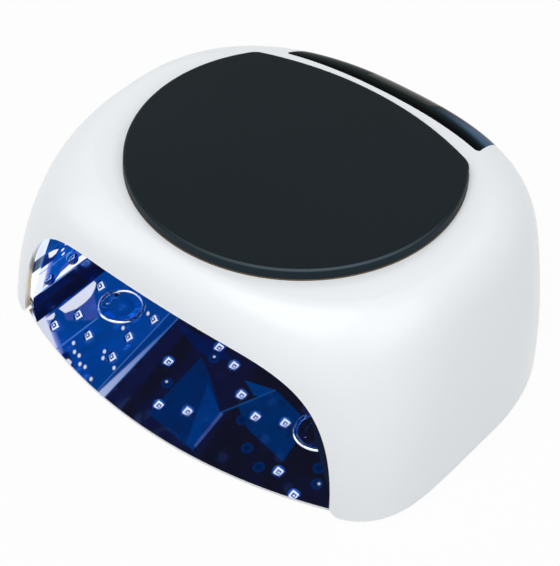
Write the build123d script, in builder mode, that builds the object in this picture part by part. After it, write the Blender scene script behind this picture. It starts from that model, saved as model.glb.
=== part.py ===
from build123d import *
from math import asin, atan2, cos, pi, radians, sin, sqrt
import os

# Nail curing lamp: a domed housing with a hand cave, standing on a removable polished tray.
# X is to the right as one faces the opening, -Y is the front and Z is up, in millimetres.
# The origin is on the floor, at the centre of the footprint.

# Hand opening: an arch in the front wall
arch_half_width = 85.0
arch_height = 65.8
arch_side_power = 4.65
arch_top_power = 2.24
arch_steps = 12

# Outer form of the shell: rounded sections whose size falls towards the crown
jamb_width = 23.0
crown_space = 17.7
front_depth = 80.2
back_depth = 91.4
rim_height = 1.0
jamb_round = 5.0
side_lean = 17.2
front_lean = 0.4
back_lean = 1.3
side_round = 7.7
front_round = 13.7
back_round = 37.3
side_shoulder = 15.5
front_shoulder = 25.0
back_shoulder = 27.5
front_power_low = 5.5
front_power_top = 2.3
back_power_low = 2.3
back_power_top = 2.5
section_count = 40
low_stations = 9
shoulder_stations = 9
half_width = arch_half_width + jamb_width
shell_height = arch_height + crown_space
wall = 2.5
roof = 4.5
fit_gap = 0.3
seat_gap = 0.1

# Top panel, seated in a recess of the crown
panel_side_margin = 12.6
panel_front_margin = 2.1
panel_centre_y = 4.3
panel_rear_radius = 150.0
panel_corner = 9.0
panel_proud = 5.1
panel_recess = 2.0
panel_edge = 1.6
seal_width = 3.0
seal_height = 0.5
seal_proud = 0.35

# Control fascia, set flush in the rear shoulder
fascia_station = 36.4
fascia_front = 19.6
fascia_front_half = 51.5
fascia_front_sag = 4.0
fascia_lower = 21.0
fascia_lower_half = 44.0
fascia_lower_sag = 4.0
fascia_corner = 9.0
fascia_front_corner = 1.5
fascia_thickness = 1.6
fascia_gap = 0.15
fascia_ledge = 2.5
strip_width = 8.6

# Buttons, display and control board behind the fascia
button_count = 4
button_pitch = 18.0
button_row = 8.0
button_radius = 4.3
button_gap = 0.2
button_proud = 0.15
button_rim = 0.3
button_flange = 1.0
button_steps = 16
button_flange_height = 0.8
button_travel = 0.5
stem_radius = 1.6
control_depth = 14.5
board_thickness = 1.6
control_board_width = 80.0
control_board_height = 28.0
switch_size = 6.0
switch_height = 3.4
plunger_radius = 1.7
plunger_height = 1.3
running_gap = 0.1
display_row = -6.5
display_width = 34.0
display_height = 13.0
lens_depth = 5.2
lens_corner = 1.2
lens_gap = 0.15
digit_count = 3
digit_pitch = 8.6
digit_width = 4.6
digit_height = 8.0
segment_width = 0.9
segment_depth = 0.3
segment_gap = 0.25
post_radius = 2.4
post_half_pitch = 36.0
post_row = 11.0

# Hand cave: a faceted liner with mirror-like inner faces
cave_inset = 2.5
cave_floor = 4.0
screw_room = 1.0
cave_drop = 1.5
foot_height = 5.9
wall_slope = 0.32
ceiling_slope = 0.167
rear_bay = 27.4
rear_slope = 0.15
corner_start = 22.0
corner_reach = 36.5
corner_slope = 0.20
edge_facet = 3.0
liner = 1.5
liner_lift = 0.6
flange_width = 4.0
flange_thickness = 1.5
lip_width = 4.0
lip_thickness = 1.5

# Lamp beads: a clear dome over a square chip, on boards behind the liner
lens_radius = 2.8
lens_dome = 2.3
lens_shoulder = 0.4
hole_gap = 0.2
board_gap = 0.3
board_corner = 2.0
chip_size = 2.8
chip_thickness = 0.5
pocket_gap = 0.1
ceiling_row = [(13.0, -17.2), (27.0, -38.4), (40.0, -43.6), (52.8, -22.9), (26.5, -6.8), (39.0, -3.0)]
ceiling_back = [(13.5, 9.0), (30.0, 21.0), (48.0, 15.0)]
ceiling_middle = [(0.0, -22.5), (0.0, 25.0)]
side_beads_low = [(-64.4, 8.0), (-51.0, 11.2), (-34.8, 6.0), (-49.7, 23.4)]
side_beads_high = [(-41.4, 41.2), (-29.3, 38.0), (-13.0, 39.0)]
side_beads = side_beads_low + side_beads_high
rear_beads = [(-15.0, 17.0), (15.0, 17.0)]
ceiling_board_half = 58.0
ceiling_board_front = 60.0
ceiling_board_back = 44.0
side_board_front = 67.3
side_board_knee = 26.0
side_board_bevel = 12.0
side_board_back = 8.0
side_board_low = 1.0
side_board_top = 47.5
rear_board_half = 30.0
rear_board_low = 6.5
rear_board_top = 28.0
sensor_height = 16.0
sensor_board = 14.0

# Heat spreader on the ceiling board
spreader_thickness = 1.5
spreader_margin = 3.0
fin_height = 5.0
fin_thickness = 1.4
fin_count = 9
spreader_post = 1.9
spreader_post_inset = 5.0

# Driver board and its parts, in the bay behind the cave
driver_gap = 8.5
driver_width = 84.0
driver_low = 9.0
driver_top = 44.0
driver_post_inset = 5.0
driver_post = 2.6
inductor_radius = 6.0
inductor_height = 7.0
inductor_bore = 2.4
inductor_x = -22.0
inductor_z = 32.0
capacitor_radius = 4.0
capacitor_height = 8.0
capacitor_spots = [(13.0, 35.0), (23.0, 35.0)]
chip_spots = [
    (-12.0, 16.5, 7.0, 5.0),
    (-14.0, 38.5, 6.0, 4.0),
    (14.0, 22.5, 10.0, 7.0),
    (0.0, 38.0, 5.0, 5.0),
]
chip_height = 1.5
plug_width = 10.0
plug_depth = 5.5
plug_height = 6.0
plug_spots = [(-29.0, 15.0), (29.0, 15.0)]

# Low-voltage inlet in the back wall
jack_width = 9.0
jack_height = 11.0
jack_z = 18.0
collar_radius = 4.0
collar_inset = 0.4
barrel_radius = 2.85
barrel_depth = 9.5
pin_radius = 1.25
pin_inset = 1.0
pin_tail = 0.9
pin_tail_length = 3.0
pin_tip = 0.3
contact_width = 1.6
contact_thickness = 0.4
contact_length = 6.0

# Bottom frame, its magnets and screws
frame_low = 3.5
frame_thickness = 3.0
boss_radius = 3.5
boss_inset = 5.5
boss_angles = [-27.0, 8.0, 52.0]
boss_top = 68.0
magnet_radius = 3.5
magnet_thickness = 1.8
magnet_angles = [-12.0, 28.0]
magnet_inset = 10.0
screw_radius = 1.25
screw_head = 2.5
screw_head_height = 1.4
screw_length = 9.0
screw_gap = 0.05
short_screw = 3.5
slot_width = 0.6
slot_depth = 0.7

# Removable tray on rubber feet
tray_top = 3.2
tray_thickness = 1.2
tray_inset = 9.0
tray_shoulder = 61.0
tray_front = 90.5
tray_tongue_gap = 0.6
tray_front_sag = 16.5
tray_corner = 4.0
foot_x = 55.6
foot_front = 46.1
foot_back = 36.0
foot_radius = 9.0
foot_edge = 0.5
dimple_radius = 8.4
dimple_floor = 5.7
dimple_depth = 0.7
bead_radius = 9.65
bead_section = 1.05
bead_rise = 0.8


def rounding(height, drop):
    """How much of a shoulder's reach is used up at a height, along a quarter ellipse."""
    s = min(max((height - shell_height + drop) / drop, 0.0), 1.0)
    return 1 - sqrt(1 - s * s)


def section_size(z, inset, lower):
    """Half width, front depth and back depth of the form's section at height z."""
    rise = (z / shell_height) ** 2
    side = half_width - side_lean * rise - side_round * rounding(z + lower, side_shoulder)
    front = front_depth - front_lean * rise - front_round * rounding(z + lower, front_shoulder)
    back = back_depth - back_lean * rise - back_round * rounding(z + lower, back_shoulder)
    return side - inset, front - inset, back - inset


def section_power(z, front):
    """Squareness of the section at height z, for its front or back half."""
    low, top = (front_power_low, front_power_top) if front else (back_power_low, back_power_top)
    return low + (top - low) * z / shell_height


def section_point(angle, z, inset=0.0, lower=0.0):
    """Point of the section's outline in the direction of an angle from +X."""
    side, front, back = section_size(z, inset, lower)
    c, s = cos(radians(angle)), sin(radians(angle))
    depth = front if s < 0 else back
    power = section_power(z, s < 0)
    reach = (abs(c / side) ** power + abs(s / depth) ** power) ** (-1 / power)
    return reach * c, reach * s


def section_outline(z, inset=0.0, lower=0.0):
    """Closed curve round the section, through points evenly spaced in angle."""
    step = 360 / section_count
    points = [section_point(i * step, z, inset, lower) for i in range(section_count)]
    even = [i / section_count for i in range(section_count + 1)]
    return Edge.make_spline(points, periodic=True, parameters=even)


def stations(start, top):
    """Heights of the sections, closer together where the shoulder turns in."""
    knee = top - back_shoulder
    low = [start + (knee - start) * i / low_stations for i in range(low_stations)]
    turn = [sin(pi / 2 * i / shoulder_stations) for i in range(shoulder_stations + 1)]
    return low + [knee + back_shoulder * t for t in turn]


def form(inset, lower, start):
    """Solid of the shell's form, set in by inset at the sides and by lower at the crown."""
    with BuildPart() as solid:
        for z in stations(start, shell_height - lower):
            with BuildSketch(Plane.XY.offset(z)):
                with BuildLine():
                    add(section_outline(z, inset, lower))
                make_face()
        loft()
    return solid.part


def slab(low, high, inset):
    """Flat slab with the form's outline at its lower face."""
    with BuildPart() as solid:
        with BuildSketch(Plane.XY.offset(low)):
            with BuildLine():
                add(section_outline(low, inset))
            make_face()
        extrude(amount=high - low)
    return solid.part


below_floor = -2.0
outer_form = form(0, 0, rim_height)
inner_form = form(wall, roof, below_floor)
liner_form = form(wall + fit_gap, roof + fit_gap, below_floor)
ledge_form = form(fascia_thickness + seat_gap, fascia_thickness + seat_gap, rim_height)
skin_form = form(fascia_thickness, fascia_thickness, rim_height)
root_form = form(fascia_thickness / 2, fascia_thickness / 2, rim_height)
button_form = form(-button_proud, -button_proud, rim_height)

# Fascia plane: tangent to the back of the shoulder, with its Y axis pointing down the back
turn = radians(fascia_station)
fascia_y = back_depth - back_lean - back_round * (1 - cos(turn))
fascia_z = shell_height - back_shoulder * (1 - sin(turn))
fascia_tilt = atan2(cos(turn) / back_round, sin(turn) / back_shoulder)
fascia_out = Vector(0, sin(fascia_tilt), cos(fascia_tilt))
fascia_plane = Plane(origin=(0, fascia_y, fascia_z), x_dir=(1, 0, 0), z_dir=fascia_out)


def surface_depth(u, v):
    """Distance from the fascia plane in to the shell's surface, at a place on that plane."""
    near, far = -back_round, back_round / 2
    for _ in range(30):
        middle = (near + far) / 2
        point = fascia_plane.from_local_coords(Vector(u, v, middle))
        side, front, back = section_size(min(point.Z, shell_height), 0, 0)
        power = section_power(point.Z, False)
        inside = abs(point.X / side) ** power + abs(max(point.Y, 0) / back) ** power < 1
        if inside and point.Z < shell_height:
            near = middle
        else:
            far = middle
    return -near


def fascia_uprights(solid):
    """Edges square to the fascia plane, from the front one to the lowest."""
    uprights = solid.edges().filter_by(lambda e: abs(e.tangent_at(0).dot(fascia_out)) > 0.99)
    return uprights.sort_by(lambda e: e.center().dot(fascia_plane.y_dir))


def fascia_prism(grow, low, high):
    """Prism on the fascia's outline, grown by an amount, from low to high off its plane."""
    front_v, lower_v = -fascia_front, fascia_lower
    front_end, lower_end = front_v - fascia_front_sag, lower_v - fascia_lower_sag
    with BuildPart() as solid:
        with BuildSketch(fascia_plane.offset(low)):
            with BuildLine():
                left, right = -fascia_front_half, fascia_front_half
                ThreePointArc((left, front_end), (0, front_v), (right, front_end))
                Line((right, front_end), (fascia_lower_half, lower_end))
                ThreePointArc((fascia_lower_half, lower_end), (0, lower_v), (-fascia_lower_half, lower_end))
                Line((-fascia_lower_half, lower_end), (left, front_end))
            make_face()
            if grow:
                offset(amount=grow, kind=Kind.INTERSECTION, mode=Mode.REPLACE)
        extrude(amount=high - low)
        fillet(fascia_uprights(solid)[-2:], fascia_corner + grow)
        fillet(fascia_uprights(solid)[:2], max(fascia_front_corner + grow, fascia_gap))
    return solid.part


button_spots = [((i - (button_count - 1) / 2) * button_pitch, button_row) for i in range(button_count)]
post_spots = [(x, y) for x in (-post_half_pitch, post_half_pitch) for y in (-post_row, post_row)]
board_level = -control_depth
prism_reach = control_depth + board_thickness

# Facets of the cave, each a plane whose Z axis points out of the cave
cave_half_width = arch_half_width - cave_inset
foot_top = cave_floor + foot_height
cave_back = back_depth - rear_bay
cave_front_y = -(front_depth - 2 * wall)
ceiling_z = arch_height - cave_drop + ceiling_slope * cave_front_y


def facet(origin, normal, x_dir):
    """Plane of one facet of the cave."""
    return Plane(origin=origin, x_dir=x_dir, z_dir=normal)


side_normal = Vector(1, 0, wall_slope).normalized()
ceiling_normal = Vector(0, ceiling_slope, 1).normalized()
corner_run = cave_back - corner_start
corner_flat = Vector(corner_run, corner_reach, 0).normalized()
corner_normal = (corner_flat + Vector(0, 0, corner_slope)).normalized()
foot_facet = facet((cave_half_width, 0, cave_floor), Vector(1, 0, 0), (0, 1, 0))
side_facet = facet((cave_half_width, 0, foot_top), side_normal, (0, 1, 0))
ceiling_facet = facet((0, 0, ceiling_z), ceiling_normal, (1, 0, 0))
rear_facet = facet((0, cave_back, cave_floor), Vector(0, 1, rear_slope).normalized(), (-1, 0, 0))
corner_middle = (cave_half_width - corner_reach / 2, (cave_back + corner_start) / 2, cave_floor)
corner_facet = facet(corner_middle, corner_normal, (-corner_reach, corner_run, 0))
edge_drop = (ceiling_z - foot_top - edge_facet) * wall_slope
edge_origin = (cave_half_width - edge_drop, 0, ceiling_z - edge_facet)
edge_plane = facet(edge_origin, (side_normal + ceiling_normal).normalized(), (0, 1, 0))


def mirrored(plane):
    """The same facet on the left of the cave."""
    flip = Vector(-plane.z_dir.X, plane.z_dir.Y, plane.z_dir.Z)
    along = Vector(-plane.x_dir.X, plane.x_dir.Y, plane.x_dir.Z)
    return Plane(origin=(-plane.origin.X, plane.origin.Y, plane.origin.Z), x_dir=along, z_dir=flip)


cave_facets = [ceiling_facet, rear_facet]
for plane in (foot_facet, side_facet, corner_facet, edge_plane):
    cave_facets += [plane, mirrored(plane)]


def cave(grow, low, high):
    """Block inside the cave's facets, grown outwards, between two heights and open-ended in front."""
    with BuildPart() as solid:
        with BuildSketch(Plane.XY.offset(low)):
            Rectangle(4 * half_width, 4 * half_width)
        extrude(amount=high - low)
        for plane in cave_facets:
            split(bisect_by=plane.offset(grow), keep=Keep.BOTTOM)
    return solid.part


def spots_on(plane, spots, depth=0.0):
    """Locations on a facet, at a depth behind it."""
    return [plane.offset(depth).location * Pos(u, v) for u, v in spots]


ceiling_spots = ceiling_middle + [(s * u, v) for u, v in ceiling_row + ceiling_back for s in (-1, 1)]
sensor_spot = [(0.0, sensor_height)]
board_face = liner + board_gap
boss_spots = [section_point(a, 0, wall + boss_inset) for a in boss_angles]
boss_spots += [(-x, y) for x, y in boss_spots]
magnet_spots = [section_point(a, 0, wall + magnet_inset) for a in magnet_angles]
magnet_spots += [(-x, y) for x, y in magnet_spots]
frame_top = frame_low + frame_thickness
screw_seat = frame_low + screw_head_height + seat_gap
flange_low = frame_top + seat_gap

# Driver bay: the board stands upright behind the rear lamp board
driver_y = cave_back + driver_gap
driver_back = driver_y + board_thickness
driver_middle = (driver_low + driver_top) / 2
driver_posts_x = driver_width / 2 - driver_post_inset
driver_posts_z = (driver_top - driver_low) / 2 - driver_post_inset
driver_rows = (driver_middle - driver_posts_z, driver_middle + driver_posts_z)
driver_spots = [(x, z) for x in (-driver_posts_x, driver_posts_x) for z in driver_rows]
back_wall_y = section_point(90, jack_z)[1]

# Panel outline, from the crown's own edge
crown_side, crown_front, crown_back = section_size(shell_height, 0, 0)
panel_half_width = crown_side - panel_side_margin
panel_half_depth = crown_front - panel_front_margin + panel_centre_y
fascia_edge = Vector(0, -fascia_front, -surface_depth(0, -fascia_front))
fascia_edge_y = fascia_plane.from_local_coords(fascia_edge).Y
panel_back = fascia_edge_y - strip_width
recess_floor = shell_height - panel_recess


def panel_outline(grow, low, high):
    """Upright prism on the panel's outline, grown by an amount."""
    with BuildPart() as solid:
        with BuildSketch(Plane.XY.offset(low)):
            with Locations((0, panel_centre_y)):
                Ellipse(panel_half_width + grow, panel_half_depth + grow)
            with Locations((0, panel_back - panel_rear_radius)):
                Circle(panel_rear_radius + grow, mode=Mode.INTERSECT)
        extrude(amount=high - low)
        corners = solid.edges().filter_by(Axis.Z).filter_by(lambda e: e.center().Y > panel_centre_y + 1)
        fillet(corners, panel_corner + grow)
    return solid.part


def arch_prism(grow):
    """Prism through the front wall on the hand arch's outline, grown by an amount."""
    across, upward = 2 / arch_side_power, 2 / arch_top_power
    width, height = arch_half_width + grow, arch_height + grow
    angles = [pi / 2 * i / arch_steps for i in range(arch_steps)]
    right_side = [(width * cos(a) ** across, height * sin(a) ** upward) for a in angles]
    left_side = [(-x, z) for x, z in reversed(right_side)]
    with BuildPart() as solid:
        with BuildSketch(Plane.XZ.offset(front_depth / 2)):
            with BuildLine():
                Spline(*right_side, (0, height), *left_side, tangents=[(0, 1), (0, -1)])
                Polyline((-width, 0), (-width, below_floor), (width, below_floor), (width, 0))
            make_face()
        extrude(amount=front_depth)
    return solid.part


def upright_cylinders(spots, radius, low, high):
    """Upright cylinders at the given places."""
    with BuildPart() as solid:
        with BuildSketch(Plane.XY.offset(low)):
            with Locations(*spots):
                Circle(radius)
        extrude(amount=high - low)
    return solid.part


def facet_cylinders(plane, spots, radius, low, high):
    """Cylinders square to a plane at the given places, from low to high off it."""
    with BuildPart() as solid:
        with BuildSketch(plane.offset(low)):
            with Locations(*spots):
                Circle(radius)
        extrude(amount=high - low)
    return solid.part


def back_cylinders(spots, radius, near, far):
    """Cylinders along Y at the given places in X and Z, between two depths."""
    return facet_cylinders(Plane.XZ, spots, radius, -far, -near)


def screw(length):
    """Pan-head screw with a cross slot, its head's seat at the origin and its shank towards -Z."""
    with BuildPart() as solid:
        with BuildSketch():
            Circle(screw_head)
        extrude(amount=screw_head_height)
        fillet(solid.edges().sort_by(Axis.Z)[-1], screw_head_height / 2)
        with BuildSketch():
            Circle(screw_radius)
        extrude(amount=-length)
        with BuildSketch(Plane.XY.offset(screw_head_height - slot_depth)):
            Rectangle(2 * screw_radius, slot_width)
            Rectangle(slot_width, 2 * screw_radius)
        extrude(amount=slot_depth, mode=Mode.SUBTRACT)
    return solid.part


long_screw_part = screw(screw_length)
short_screw_part = screw(short_screw)
pilot = screw_radius + screw_gap

# Cutters and bosses for the shell
window = fascia_prism(fascia_gap, -prism_reach, back_round)
window_hole = fascia_prism(-fascia_ledge, -2 * prism_reach, back_round)
boss_columns = upright_cylinders(boss_spots, boss_radius, frame_top + seat_gap, boss_top)
driver_columns = back_cylinders(driver_spots, driver_post, driver_back + seat_gap, back_depth)
panel_seat = panel_outline(fit_gap, recess_floor, shell_height + panel_proud)

with BuildPart() as ledge_cut:
    add(window)
    add(ledge_form, mode=Mode.SUBTRACT)

with BuildPart() as boss_solids:
    add(boss_columns)
    add(driver_columns)
    add(root_form, mode=Mode.INTERSECT)

# Rounding of the lower inner corner of each jamb
with BuildPart() as jamb_feet:
    round_top = rim_height + jamb_round
    round_share = 1 - (round_top / arch_height) ** arch_top_power
    round_start = arch_half_width * round_share ** (1 / arch_side_power)
    round_end = round_start + jamb_round
    with BuildSketch(Plane.XZ.offset(front_depth / 2)):
        with BuildLine():
            CenterArc((round_end, round_top), jamb_round, 180, 90)
            Polyline(
                (round_end, rim_height),
                (round_end, below_floor),
                (0, below_floor),
                (0, round_top),
                (round_start, round_top),
            )
        make_face()
    extrude(amount=front_depth)
    mirror(about=Plane.YZ)

with BuildPart() as housing_shell:
    add(outer_form)
    add(inner_form, mode=Mode.SUBTRACT)
    add(boss_solids.part)
    add(arch_prism(0), mode=Mode.SUBTRACT)
    add(jamb_feet.part, mode=Mode.SUBTRACT)
    add(panel_seat, mode=Mode.SUBTRACT)
    add(ledge_cut.part, mode=Mode.SUBTRACT)
    add(window_hole, mode=Mode.SUBTRACT)
    boss_bores = upright_cylinders(boss_spots, pilot, frame_low, screw_seat + screw_length + screw_room)
    add(boss_bores, mode=Mode.SUBTRACT)
    driver_bores = back_cylinders(driver_spots, pilot, driver_y, driver_y + short_screw + screw_room)
    add(driver_bores, mode=Mode.SUBTRACT)
    inlet_bore = back_cylinders([(0, jack_z)], collar_radius + fit_gap, driver_back, back_depth + 1)
    add(inlet_bore, mode=Mode.SUBTRACT)

# Top panel: a plate with a rounded rim, hollow below
panel_top = shell_height + panel_proud
with BuildPart() as top_panel:
    add(panel_outline(0, recess_floor + seal_height, panel_top))
    rim = top_panel.faces().sort_by(Axis.Z)[-1].edges()
    fillet(rim, panel_edge)
    add(panel_outline(-wall, recess_floor, panel_top - wall), mode=Mode.SUBTRACT)

with BuildPart() as panel_seal:
    add(panel_outline(seal_proud - fit_gap, recess_floor, recess_floor + seal_height))
    add(panel_outline(-seal_width, recess_floor, recess_floor + seal_height), mode=Mode.SUBTRACT)

# Control fascia: a skin of the shell's own form, with posts for the control board behind it
with BuildPart() as fascia_posts:
    add(facet_cylinders(fascia_plane, post_spots, post_radius, board_level + seat_gap, 0))
    add(root_form, mode=Mode.INTERSECT)


def lens_block(grow, low, high):
    """Prism on the display window's outline, off the fascia plane."""
    with BuildPart() as solid:
        with BuildSketch(fascia_plane.offset(low)):
            with Locations((0, display_row)):
                RectangleRounded(display_width + 2 * grow, display_height + 2 * grow, lens_corner + grow)
        extrude(amount=high - low)
    return solid.part


button_hole = button_radius + button_gap
button_holes = facet_cylinders(fascia_plane, button_spots, button_hole, -prism_reach, back_round)
post_bores = facet_cylinders(fascia_plane, post_spots, pilot, board_level, board_level + short_screw)

with BuildPart() as control_fascia:
    add(outer_form)
    add(skin_form, mode=Mode.SUBTRACT)
    add(fascia_prism(0, -prism_reach, back_round), mode=Mode.INTERSECT)
    add(fascia_posts.part)
    add(button_holes, mode=Mode.SUBTRACT)
    add(lens_block(lens_gap, -prism_reach, back_round), mode=Mode.SUBTRACT)
    add(post_bores, mode=Mode.SUBTRACT)

with BuildPart() as display_lens:
    add(lens_block(0, -lens_depth, back_round))
    add(outer_form, mode=Mode.INTERSECT)

# Display module and its digits, under the lens
module_top = -lens_depth - segment_depth - seat_gap
with BuildPart() as display_module:
    with BuildSketch(fascia_plane.offset(board_level)):
        with Locations((0, display_row)):
            Rectangle(display_width - 2 * lens_corner, display_height)
    extrude(amount=module_top - board_level)
    chamfer(display_module.edges().group_by(SortBy.LENGTH)[0], segment_width / 2)

with BuildPart() as display_digits:
    bar = digit_width - 2 * segment_width - 2 * segment_gap
    post = (digit_height - 3 * segment_width) / 2 - 2 * segment_gap
    with BuildSketch(fascia_plane.offset(module_top)):
        for i in range(digit_count):
            digit_x = (i - (digit_count - 1) / 2) * digit_pitch
            bar_rise = (digit_height - segment_width) / 2
            with Locations(*[(digit_x, display_row + level * bar_rise) for level in (-1, 0, 1)]):
                Rectangle(bar, segment_width)
            for side in (-1, 1):
                side_x = digit_x + side * (digit_width - segment_width) / 2
                with Locations(*[(side_x, display_row + half * digit_height / 4) for half in (-1, 1)]):
                    Rectangle(segment_width, post)
    extrude(amount=segment_depth)

# Control board with four sprung switches
with BuildPart() as control_board:
    with BuildSketch(fascia_plane.offset(board_level - board_thickness)):
        RectangleRounded(control_board_width, control_board_height, post_radius)
        with Locations(*post_spots):
            Circle(pilot, mode=Mode.SUBTRACT)
    extrude(amount=board_thickness)

switch_top = board_level + switch_height
plunger_top = switch_top + plunger_height
with BuildPart() as tact_switches:
    with BuildSketch(fascia_plane.offset(board_level)):
        with Locations(*button_spots):
            Rectangle(switch_size, switch_size)
    extrude(amount=switch_height)
    chamfer(fascia_uprights(tact_switches), switch_size / 10)
    well_floor = switch_top - 2 * button_travel - running_gap
    well_radius = plunger_radius + running_gap
    wells = facet_cylinders(fascia_plane, button_spots, well_radius, well_floor, switch_top)
    add(wells, mode=Mode.SUBTRACT)


def plunger(spot):
    """Plunger of one switch, standing a little way into its body."""
    return facet_cylinders(fascia_plane, [spot], plunger_radius, switch_top - button_travel, plunger_top)


skin_depth = fascia_thickness * (fascia_out.Y + fascia_out.Z)


def button(spot):
    """Round key: a cap that follows the fascia, a retaining flange and a stem down to the switch."""
    reach = button_radius + button_flange
    turns = [2 * pi * i / button_steps for i in range(button_steps)]
    deepest = max(surface_depth(spot[0] + reach * cos(a), spot[1] + reach * sin(a)) for a in turns)
    flange_top = -deepest - skin_depth - fit_gap
    flange_foot = flange_top - button_flange_height
    cap = facet_cylinders(fascia_plane, [spot], button_radius, flange_top, back_round)
    with BuildPart() as solid:
        add(cap)
        add(button_form, mode=Mode.INTERSECT)
        rim = solid.faces().sort_by(lambda f: f.center().dot(fascia_out))[-1].edges()
        fillet(rim, button_rim)
        add(facet_cylinders(fascia_plane, [spot], reach, flange_foot, flange_top))
        add(facet_cylinders(fascia_plane, [spot], stem_radius, plunger_top, flange_foot))
    return solid.part


# Reflector: liner of the cave, with a foot flange, bead holes and posts for the heat spreader
liner_low = tray_top + liner_lift
board_back = board_face + board_thickness
spreader_back = board_back + seat_gap + spreader_thickness
hole_radius = lens_radius + hole_gap
spreader_posts_x = ceiling_board_half - spreader_post_inset
spreader_posts_v = (-ceiling_board_front + spreader_post_inset, ceiling_board_back - spreader_post_inset)
spreader_spots = [(x, v) for x in (-spreader_posts_x, spreader_posts_x) for v in spreader_posts_v]
bead_reach = lens_shoulder + lens_dome

with BuildPart() as side_holes:
    add(facet_cylinders(side_facet, side_beads, hole_radius, -bead_reach, board_face))
    add(facet_cylinders(corner_facet, sensor_spot, hole_radius, -bead_reach, board_face))
    mirror(about=Plane.YZ)

# Lip of the reflector behind the rim of the hand arch
lip_form = form(wall + fit_gap + lip_thickness, roof + fit_gap + lip_thickness, below_floor)
with BuildPart() as front_lip:
    add(liner_form)
    add(lip_form, mode=Mode.SUBTRACT)
    add(arch_prism(lip_width), mode=Mode.INTERSECT)
    split(bisect_by=Plane.XY.offset(flange_low), keep=Keep.TOP)

with BuildPart() as reflector_chamber:
    add(cave(liner, liner_low, shell_height))
    add(cave(liner + flange_width, flange_low, flange_low + flange_thickness))
    add(front_lip.part)
    add(cave(0, below_floor, shell_height), mode=Mode.SUBTRACT)
    boss_room = upright_cylinders(boss_spots, boss_radius + fit_gap, frame_low, shell_height)
    add(boss_room, mode=Mode.SUBTRACT)
    post_top = spreader_back - seat_gap
    add(facet_cylinders(ceiling_facet, spreader_spots, spreader_post, liner / 2, post_top))
    add(liner_form, mode=Mode.INTERSECT)
    add(side_holes.part, mode=Mode.SUBTRACT)
    ceiling_holes = facet_cylinders(ceiling_facet, ceiling_spots, hole_radius, -bead_reach, board_face)
    add(ceiling_holes, mode=Mode.SUBTRACT)
    rear_holes = facet_cylinders(rear_facet, rear_beads, hole_radius, -bead_reach, board_face)
    add(rear_holes, mode=Mode.SUBTRACT)
    post_bore = facet_cylinders(ceiling_facet, spreader_spots, pilot, liner / 2, spreader_back)
    add(post_bore, mode=Mode.SUBTRACT)


def bead(pocketed):
    """Clear dome on a round foot, its dome towards -Z; pocketed for a chip if asked."""
    with BuildPart() as solid:
        with BuildSketch(Plane.XZ):
            with BuildLine():
                foot_corner, shoulder = (lens_radius, board_face), (lens_radius, -lens_shoulder)
                Polyline((0, -bead_reach), (0, board_face), foot_corner, shoulder)
                ball = (lens_radius**2 + lens_dome**2) / (2 * lens_dome)
                half_turn = asin(lens_radius / ball) / 2
                knee = (ball * sin(half_turn), ball * (1 - cos(half_turn)) - bead_reach)
                ThreePointArc(shoulder, knee, (0, -bead_reach))
            make_face()
        revolve(axis=Axis.Z)
        if pocketed:
            with BuildSketch(Plane.XY.offset(board_face)):
                Rectangle(chip_size + 2 * pocket_gap, chip_size + 2 * pocket_gap)
            extrude(amount=-chip_thickness - pocket_gap, mode=Mode.SUBTRACT)
    return solid.part


def chips(plane, spots):
    """Square emitter chips on a lamp board's face."""
    with BuildPart() as solid:
        with BuildSketch(plane.offset(board_face)):
            with Locations(*spots):
                Rectangle(chip_size, chip_size)
        extrude(amount=-chip_thickness)
    return solid.part


def board(plane, low_corner, high_corner, level, thickness, holes=(), hole=pilot):
    """Flat board on a facet, between two corners of its plane, at a level behind it."""
    (u0, v0), (u1, v1) = low_corner, high_corner
    with BuildPart() as solid:
        with BuildSketch(plane.offset(level)):
            with Locations(((u0 + u1) / 2, (v0 + v1) / 2)):
                RectangleRounded(u1 - u0, v1 - v0, board_corner)
            if holes:
                with Locations(*holes):
                    Circle(hole, mode=Mode.SUBTRACT)
        extrude(amount=thickness)
    return solid.part


lamp_bead = bead(True)
sensor_bead = bead(False)

with BuildPart() as ceiling_led_lenses:
    with Locations(*spots_on(ceiling_facet, ceiling_spots)):
        add(lamp_bead)

with BuildPart() as right_led_lenses:
    with Locations(*spots_on(side_facet, side_beads)):
        add(lamp_bead)

with BuildPart() as left_led_lenses:
    mirror(right_led_lenses.part, about=Plane.YZ)

with BuildPart() as rear_led_lenses:
    with Locations(*spots_on(rear_facet, rear_beads)):
        add(lamp_bead)

with BuildPart() as ceiling_led_chips:
    add(chips(ceiling_facet, ceiling_spots))

with BuildPart() as right_led_chips:
    add(chips(side_facet, side_beads))

with BuildPart() as left_led_chips:
    mirror(right_led_chips.part, about=Plane.YZ)

with BuildPart() as rear_led_chips:
    add(chips(rear_facet, rear_beads))

post_hole = spreader_post + seat_gap
with BuildPart() as ceiling_led_board:
    low = (-ceiling_board_half, -ceiling_board_front)
    high = (ceiling_board_half, ceiling_board_back)
    add(board(ceiling_facet, low, high, board_face, board_thickness, spreader_spots, post_hole))

with BuildPart() as right_led_board:
    front, back = -side_board_front, side_board_back
    with BuildSketch(side_facet.offset(board_face)) as outline:
        with BuildLine():
            Polyline(
                (front, side_board_low),
                (back, side_board_low),
                (back, side_board_top),
                (front + side_board_bevel, side_board_top),
                (front, side_board_knee),
                close=True,
            )
        make_face()
        fillet(outline.vertices(), board_corner)
    extrude(amount=board_thickness)

with BuildPart() as left_led_board:
    mirror(right_led_board.part, about=Plane.YZ)

with BuildPart() as rear_led_board:
    low, high = (-rear_board_half, rear_board_low), (rear_board_half, rear_board_top)
    add(board(rear_facet, low, high, board_face, board_thickness))

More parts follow.
